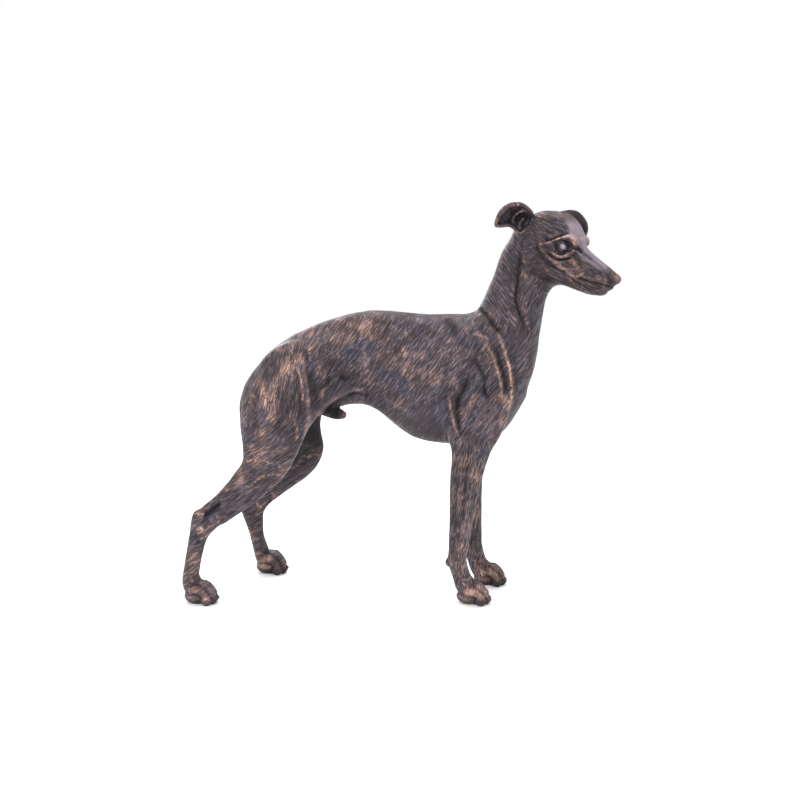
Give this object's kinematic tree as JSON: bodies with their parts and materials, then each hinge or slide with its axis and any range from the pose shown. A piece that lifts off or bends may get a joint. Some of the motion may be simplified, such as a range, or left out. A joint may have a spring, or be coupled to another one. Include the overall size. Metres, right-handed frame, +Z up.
{
  "type": "greyhound statue",
  "caption": "Standing greyhound figure cast in one piece, head turned to its right, ears folded, tail tucked under; stands on its feet.",
  "frame": {"origin": "centre of the figure's bounding box at the level of its soles", "axes": "+X the way the dog's body faces, +Z up, +Y to the dog's left"},
  "size_m": [0.7484, 0.2, 0.7006],
  "materials": {
    "greyhound_statue": "cast bronze under a dark purplish brown patina, rubbed back to copper on the raised edges, satin"
  },
  "bodies": {
    "root": {"greyhound_statue": "greyhound_statue"}
  },
  "joints": []
}
